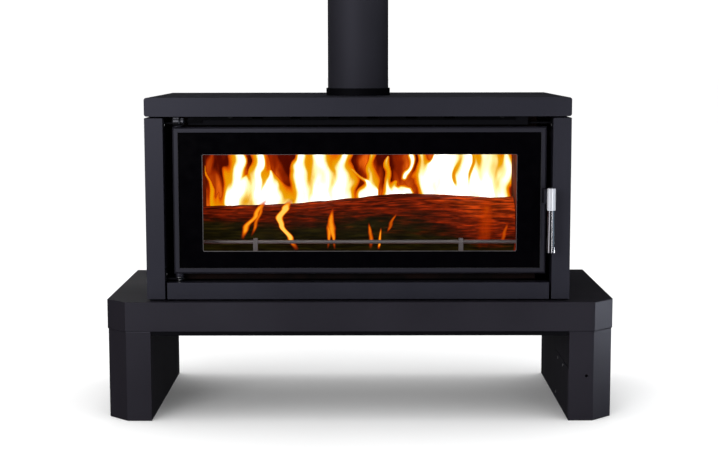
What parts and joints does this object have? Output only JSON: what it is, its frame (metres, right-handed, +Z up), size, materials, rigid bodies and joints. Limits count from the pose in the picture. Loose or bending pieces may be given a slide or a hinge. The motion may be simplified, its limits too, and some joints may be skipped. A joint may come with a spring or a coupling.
{
  "type": "wood burning stove",
  "caption": "Wide freestanding wood burning stove with a glazed door, air slider, upright flue and a log bench on two legs.",
  "frame": {"origin": "on the floor, on the centre line of the flue", "axes": "+X to the right as seen from the front, +Y from the door to the rear panel, +Z up along the flue"},
  "size_m": [1.206, 0.579, 1.27],
  "materials": {
    "body_paint": "satin black high-temperature paint",
    "bench_paint": "satin black high-temperature paint",
    "door_paint": "satin black high-temperature paint",
    "slider_paint": "satin black paint, worn at the edges",
    "flue_paint": "matt black flue paint",
    "collar_black": "matt black",
    "knob_black": "dark turned steel",
    "hidden_steel": "black painted steel",
    "firebox_steel": "sooted steel plate",
    "clamp_steel": "black steel",
    "bright_steel": "zinc plated",
    "retainer_steel": "heat dulled steel bar",
    "chrome": "polished",
    "glass": "clear ceramic glass",
    "rope_seal": "braided glass fibre rope",
    "vermiculite": "pressed vermiculite board",
    "firebrick": "sooted fire clay",
    "embers": "glowing charcoal",
    "burning_wood": "charred split log"
  },
  "bodies": {
    "stove": {"bench_slab": "bench_paint", "bench_beams": "hidden_steel", "bench_soffit": "hidden_steel", "leg_left": "bench_paint", "leg_right": "bench_paint", "leg_bolts": "bright_steel", "leg_access_cover": "bench_paint", "leg_cover_screws": "bright_steel", "stove_pads": "hidden_steel", "side_panel_left": "body_paint", "side_panel_right": "body_paint", "rear_panel": "body_paint", "rear_screws": "hidden_steel", "base_plate": "hidden_steel", "lower_fascia": "body_paint", "lid": "body_paint", "lid_brackets": "hidden_steel", "firebox_supports": "hidden_steel", "firebox_shell": "firebox_steel", "firebox_front": "firebox_steel", "flue_collar": "collar_black", "flue_pipe": "flue_paint", "baffle_rails": "hidden_steel", "baffle_plate": "vermiculite", "side_bricks_left": "firebrick", "side_bricks_right": "firebrick", "back_bricks": "firebrick", "floor_bricks": "firebrick", "air_wash_duct": "hidden_steel", "air_manifold": "hidden_steel", "slider_guide_screws": "bright_steel", "log_retainer_posts": "retainer_steel", "log_retainer_bar": "retainer_steel", "ember_bed": "embers", "log_front": "burning_wood", "log_back": "burning_wood", "hinge_bracket_lower": "hidden_steel", "hinge_bracket_upper": "hidden_steel", "casing_tie": "hidden_steel", "post_screws": "bright_steel", "hinge_pins": "bright_steel", "hinge_washer": "bright_steel", "latch_keeper": "bright_steel"},
    "door": {"door_frame": "door_paint", "glass_gasket": "rope_seal", "door_glass": "glass", "door_inner_frame": "clamp_steel", "inner_frame_screws": "bright_steel", "door_rope": "rope_seal", "door_hinge_lugs": "door_paint", "handle_bracket": "door_paint"},
    "handle": {"handle_hub": "chrome", "handle_grip": "chrome", "handle_spindle": "bright_steel", "latch_cam": "bright_steel", "cam_nut": "bright_steel"},
    "air_slider": {"air_slider_plate": "slider_paint", "slider_arm": "slider_paint", "air_knob": "knob_black"}
  },
  "joints": [
    {"name": "door_swing", "type": "hinge", "parent": "stove", "child": "door", "pos_m": [-0.425, -0.2117, 0.521], "axis": [0, 0, -1], "range_deg": [0, 105]},
    {"name": "handle_turn", "type": "hinge", "parent": "door", "child": "handle", "pos_m": [0.4489, -0.2847, 0.529], "axis": [0, -1, 0], "range_deg": [0, 90]},
    {"name": "air_slide", "type": "slide", "parent": "stove", "child": "air_slider", "axis": [1, 0, 0], "range_m": [0, 0.06]}
  ]
}
